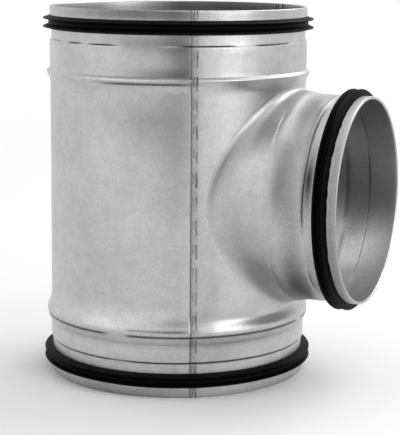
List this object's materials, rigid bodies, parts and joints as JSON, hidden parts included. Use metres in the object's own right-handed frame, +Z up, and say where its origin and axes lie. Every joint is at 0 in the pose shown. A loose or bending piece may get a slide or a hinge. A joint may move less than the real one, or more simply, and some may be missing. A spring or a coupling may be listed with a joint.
{
  "type": "duct tee",
  "caption": "Pressed galvanised steel tee for round ventilation ducts, standing on one main spigot, with a smaller side branch, stop beads and black double-lip rubber sealing rings.",
  "frame": {"origin": "centre of the bottom rim, on the floor the tee stands on", "axes": "+Z up the main duct's axis, +X along the branch, out of its open end; the XZ plane is a plane of symmetry"},
  "size_m": [0.2093, 0.1676, 0.227],
  "materials": {
    "galvanised_sheet": "bright zinc coat with a fine grain",
    "sealing_rubber": "smooth satin black"
  },
  "bodies": {
    "root": {"plain_shell": "galvanised_sheet", "branch_shell": "galvanised_sheet", "top_gasket": "sealing_rubber", "bottom_gasket": "sealing_rubber", "branch_gasket": "sealing_rubber"}
  },
  "joints": []
}
